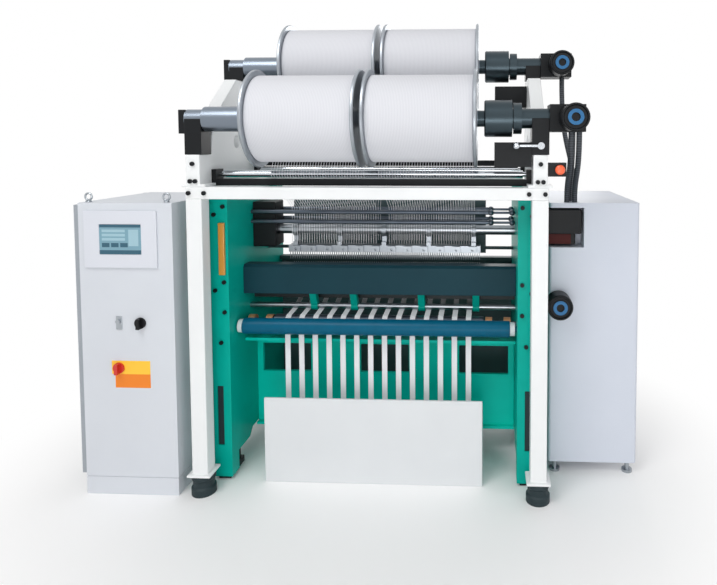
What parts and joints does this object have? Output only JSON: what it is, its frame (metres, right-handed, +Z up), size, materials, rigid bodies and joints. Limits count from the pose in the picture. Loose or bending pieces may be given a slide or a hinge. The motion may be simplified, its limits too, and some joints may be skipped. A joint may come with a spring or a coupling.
{
  "type": "warp knitting machine",
  "caption": "A compact warp knitting machine for narrow tapes, with warp beams on a white stand, a control cabinet on the left and a drive housing on the right.",
  "frame": {"origin": "middle of the footprint, on the floor", "axes": "+X to the operator's right along the warp beams, +Y from the operator to the back, +Z up"},
  "size_m": [2.88, 1.2819, 2.472],
  "materials": {
    "white_paint": "satin powder coat",
    "green_paint": "gloss machine enamel",
    "dark_green_paint": "satin machine enamel",
    "grey_paint": "textured powder coat",
    "black_paint": "satin black enamel",
    "dark_steel": "oiled turned steel",
    "bright_steel": "ground steel",
    "chrome": "polished chrome",
    "aluminium": "turned aluminium",
    "yarn": "raw white multifilament yarn",
    "blue_rubber": "blue ground rubber cover",
    "white_plastic": "white moulded plastic",
    "bronze": "turned bearing bronze",
    "black_rubber": "dark moulded rubber",
    "cable_grey": "grey ribbed sheath",
    "signal_orange": "orange moulded plastic",
    "signal_red": "red moulded plastic",
    "panel_grey": "pale moulded plastic",
    "black_plastic": "black moulded plastic"
  },
  "bodies": {
    "frame": {"posts": "white_paint", "top_rails": "white_paint", "vibration_mounts": "black_rubber", "left_stand_plate": "white_paint", "right_stand_plate": "white_paint", "beam_bearings": "black_paint", "let_off_gear_units": "black_paint", "let_off_motors": "black_paint", "take_up_motor": "black_paint", "left_side_wall": "green_paint", "right_side_wall": "green_paint", "bed_panel": "green_paint", "rear_panel": "green_paint", "rear_guard": "dark_steel", "machine_feet": "black_paint", "cover_beam": "dark_green_paint", "knitted_tapes": "yarn", "fabric_bin": "white_plastic", "fabric_rod": "bright_steel", "rod_brackets": "green_paint", "needle_bed": "bright_steel", "swing_case": "black_paint", "reed_bars": "dark_steel", "tube_carriers": "black_paint", "warp_yarns": "yarn", "cabinet_body": "grey_paint", "cabinet_modules": "aluminium", "operator_panel": "panel_grey", "lifting_eyes": "bright_steel", "drive_housing": "white_paint", "housing_feet": "bright_steel", "pattern_drive": "black_paint", "motor_cables": "cable_grey", "stop_station": "black_plastic", "cable_trunk": "grey_paint"},
    "front_beam": {"front_beam_shaft": "dark_steel", "front_left_spool": "aluminium", "front_right_spool": "aluminium", "front_yarn_packs": "yarn"},
    "rear_beam": {"rear_beam_shaft": "dark_steel", "rear_left_spool": "aluminium", "rear_right_spool": "aluminium", "rear_yarn_packs": "yarn"},
    "front_tube": {"front_guide_tube": "chrome"},
    "rear_tube": {"rear_guide_tube": "chrome"},
    "front_take_up": {"front_roller": "blue_rubber", "roller_end_caps": "white_plastic"},
    "nip_take_up": {"nip_roller": "dark_steel", "bronze_collars": "bronze"},
    "swing": {"swing_shaft": "dark_steel", "guide_bar_hangers": "aluminium"},
    "front_guides": {"front_guide_bar": "aluminium"},
    "rear_guides": {"rear_guide_bar": "aluminium"},
    "front_needles": {"front_needle_bar": "bright_steel"},
    "rear_needles": {"rear_needle_bar": "bright_steel"},
    "door": {"cabinet_door": "grey_paint"},
    "mains": {"main_switch": "signal_red"},
    "selector": {"selector_knob": "black_plastic"},
    "stop": {"stop_button": "signal_orange"},
    "lever": {"clamp_lever": "chrome"}
  },
  "joints": [
    {"name": "front_beam_spin", "type": "hinge", "parent": "frame", "child": "front_beam", "pos_m": [0.036, -0.399, 1.912], "axis": [1, 0, 0], "continuous": true},
    {"name": "rear_beam_spin", "type": "hinge", "parent": "frame", "child": "rear_beam", "pos_m": [0.036, 0.111, 2.23], "axis": [1, 0, 0], "continuous": true},
    {"name": "front_tube_spin", "type": "hinge", "parent": "frame", "child": "front_tube", "pos_m": [0.036, -0.279, 1.632], "axis": [1, 0, 0], "continuous": true},
    {"name": "rear_tube_spin", "type": "hinge", "parent": "frame", "child": "rear_tube", "pos_m": [0.036, 0.231, 1.632], "axis": [1, 0, 0], "continuous": true},
    {"name": "front_roller_spin", "type": "hinge", "parent": "frame", "child": "front_take_up", "pos_m": [0.036, -0.209, 0.802], "axis": [1, 0, 0], "continuous": true},
    {"name": "nip_roller_spin", "type": "hinge", "parent": "frame", "child": "nip_take_up", "pos_m": [0.036, -0.122, 0.802], "axis": [1, 0, 0], "continuous": true},
    {"name": "guide_swing", "type": "hinge", "parent": "frame", "child": "swing", "pos_m": [0.036, 0.084, 1.29], "axis": [1, 0, 0], "range_deg": [-5, 5]},
    {"name": "front_shog", "type": "slide", "parent": "swing", "child": "front_guides", "axis": [1, 0, 0], "range_m": [-0.008, 0.008]},
    {"name": "rear_shog", "type": "slide", "parent": "swing", "child": "rear_guides", "axis": [1, 0, 0], "range_m": [-0.008, 0.008]},
    {"name": "front_needle_lift", "type": "slide", "parent": "frame", "child": "front_needles", "axis": [0, 0, 1], "range_m": [0, 0.014]},
    {"name": "rear_needle_lift", "type": "slide", "parent": "frame", "child": "rear_needles", "axis": [0, 0, 1], "range_m": [0, 0.014]},
    {"name": "cabinet_door_swing", "type": "hinge", "parent": "frame", "child": "door", "pos_m": [-1.426, 0.15, 0.79], "axis": [0, 0, -1], "range_deg": [0, 110]},
    {"name": "main_switch_turn", "type": "hinge", "parent": "frame", "child": "mains", "pos_m": [-1.222, -0.459, 0.6578], "axis": [0, 1, 0], "range_deg": [0, 90]},
    {"name": "selector_turn", "type": "hinge", "parent": "frame", "child": "selector", "pos_m": [-1.104, -0.459, 0.88953], "axis": [0, 1, 0], "range_deg": [-45, 45]},
    {"name": "stop_press", "type": "slide", "parent": "frame", "child": "stop", "axis": [0, 1, 0], "range_m": [0, 0.006], "stiffness_N_per_m": 2000},
    {"name": "bearing_lock_turn", "type": "hinge", "parent": "frame", "child": "lever", "pos_m": [0.891, -0.452, 1.779], "axis": [0, -1, 0], "range_deg": [0, 60]}
  ],
  "couplings": [
    {"joint": "nip_roller_spin", "follows": "front_roller_spin", "ratio": -1.075}
  ]
}
